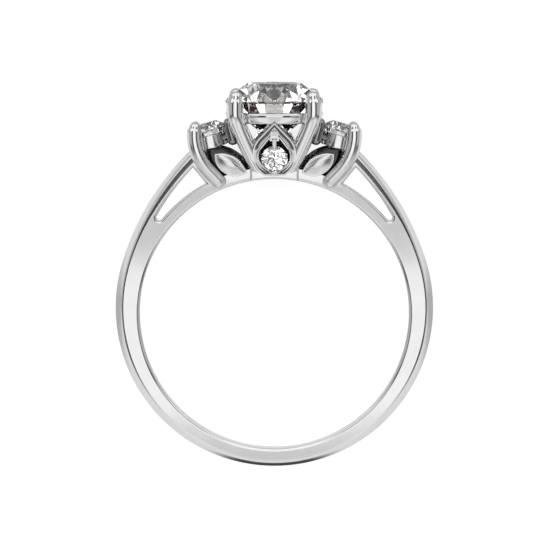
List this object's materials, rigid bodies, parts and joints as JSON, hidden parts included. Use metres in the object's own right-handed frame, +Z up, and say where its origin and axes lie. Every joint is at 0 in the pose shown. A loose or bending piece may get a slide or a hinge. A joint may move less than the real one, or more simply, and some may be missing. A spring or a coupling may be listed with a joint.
{
  "type": "three-stone ring",
  "caption": "White-metal finger ring lying on its side, with a large round stone in long claws, a smaller round stone on each side, and an accent stone in a petal frame under the head.",
  "frame": {"origin": "centre of the finger hole", "axes": "+Z up from the table, out of the ring's front face; +Y towards the centre stone; +X to the right of the ring seen from the front. The finger hole's axis leans from +Z towards -Y by the tilt of the resting ring, about 5.5 degrees"},
  "size_m": [0.0204, 0.0247, 0.0063],
  "materials": {
    "white_gold": "polished white gold with a rhodium surface",
    "clear_stone": "polished facets, near-colourless with a faint brown tint"
  },
  "bodies": {
    "root": {"ring_mount": "white_gold", "centre_stone": "clear_stone", "left_stone": "clear_stone", "right_stone": "clear_stone", "front_accent_stone": "clear_stone", "back_accent_stone": "clear_stone"}
  },
  "joints": []
}
